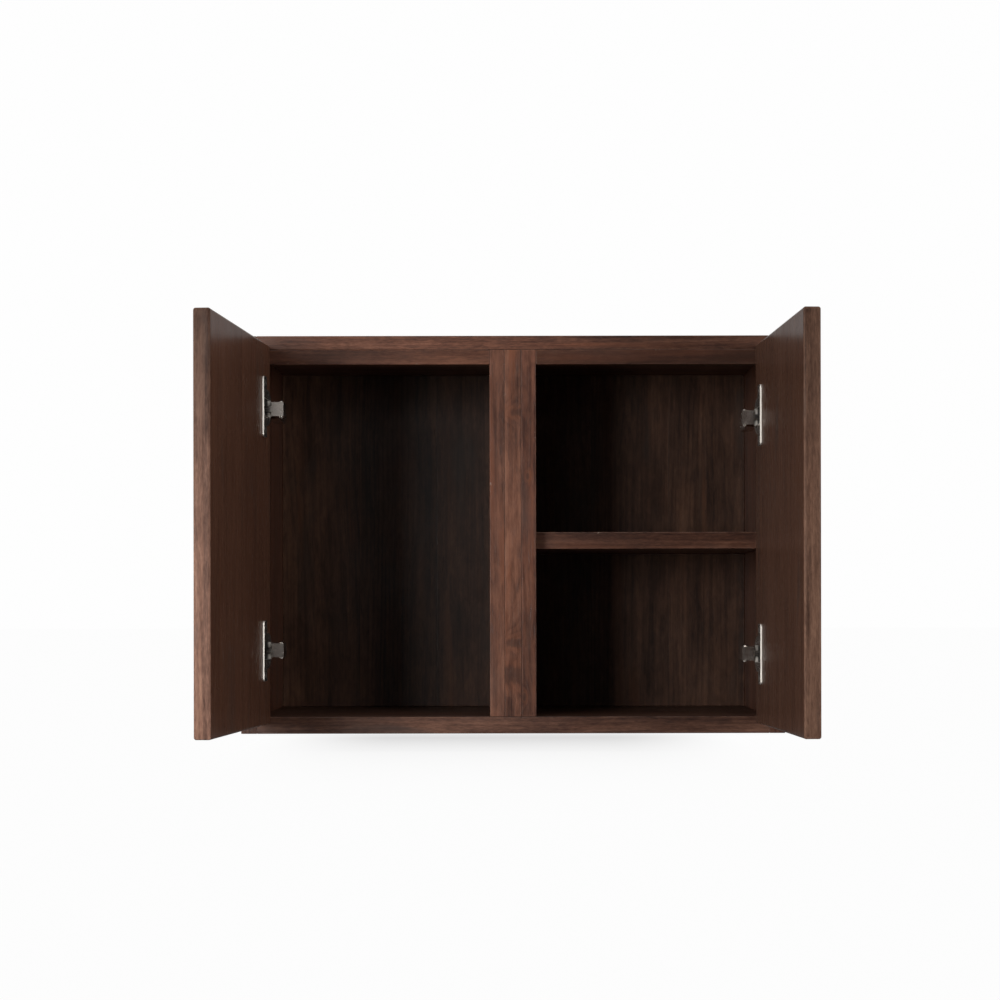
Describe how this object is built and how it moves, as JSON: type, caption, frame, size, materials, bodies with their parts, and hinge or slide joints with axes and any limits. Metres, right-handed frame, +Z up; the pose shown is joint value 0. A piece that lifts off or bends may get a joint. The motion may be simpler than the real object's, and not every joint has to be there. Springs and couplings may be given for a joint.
{
  "type": "wall-mounted bar cabinet",
  "caption": "Wall-hung wooden bar cabinet: a tall bay and a shelved bay behind solid doors on concealed cup hinges, hung by keyhole plates on a rear rail.",
  "frame": {"origin": "centre of the upper hanging rail's rear face, on the wall plane", "axes": "+X to the right of a person facing the cabinet, +Y into the wall, +Z up"},
  "size_m": [0.5555, 0.5125, 0.402],
  "materials": {
    "cabinet_wood": "dark walnut stain, satin lacquer",
    "door_wood": "dark walnut stain, satin lacquer",
    "back_wood": "dark walnut stain, thin lacquer",
    "dowel_wood": "bare beech",
    "hinge_steel": "nickel plated pressed steel",
    "screw_steel": "nickel plated",
    "hanger_steel": "zinc plated"
  },
  "bodies": {
    "carcass": {"top_panel": "cabinet_wood", "bottom_panel": "cabinet_wood", "left_side_panel": "cabinet_wood", "right_side_panel": "cabinet_wood", "centre_divider": "cabinet_wood", "left_divider_facing": "cabinet_wood", "right_divider_facing": "cabinet_wood", "left_top_rail": "cabinet_wood", "right_top_rail": "cabinet_wood", "back_panel": "back_wood", "shelf": "cabinet_wood", "lower_spacer_rail": "back_wood", "upper_hanging_rail": "back_wood", "corner_dowels": "dowel_wood", "shelf_dowels": "dowel_wood", "left_keyhole_hanger": "hanger_steel", "right_keyhole_hanger": "hanger_steel", "hanger_screws": "screw_steel", "left_plate_screws": "screw_steel", "left_hinge_adjusters": "screw_steel", "left_upper_hinge_arm": "hinge_steel", "left_upper_hinge_plate": "hinge_steel", "left_lower_hinge_arm": "hinge_steel", "left_lower_hinge_plate": "hinge_steel", "right_plate_screws": "screw_steel", "right_hinge_adjusters": "screw_steel", "right_upper_hinge_arm": "hinge_steel", "right_upper_hinge_plate": "hinge_steel", "right_lower_hinge_arm": "hinge_steel", "right_lower_hinge_plate": "hinge_steel"},
    "left_door": {"left_door": "door_wood", "left_cup_screws": "screw_steel", "left_upper_hinge_cup": "hinge_steel", "left_upper_hinge_pin": "screw_steel", "left_lower_hinge_cup": "hinge_steel", "left_lower_hinge_pin": "screw_steel"},
    "right_door": {"right_door": "door_wood", "right_cup_screws": "screw_steel", "right_upper_hinge_cup": "hinge_steel", "right_upper_hinge_pin": "screw_steel", "right_lower_hinge_cup": "hinge_steel", "right_lower_hinge_pin": "screw_steel"}
  },
  "joints": [
    {"name": "left_door_swing", "type": "hinge", "parent": "carcass", "child": "left_door", "pos_m": [-0.2535, -0.2605, 0], "axis": [0, 0, -1], "range_deg": [-94.6, 3.4]},
    {"name": "right_door_swing", "type": "hinge", "parent": "carcass", "child": "right_door", "pos_m": [0.2535, -0.2605, 0], "axis": [0, 0, 1], "range_deg": [-92.7, 5.3]}
  ]
}
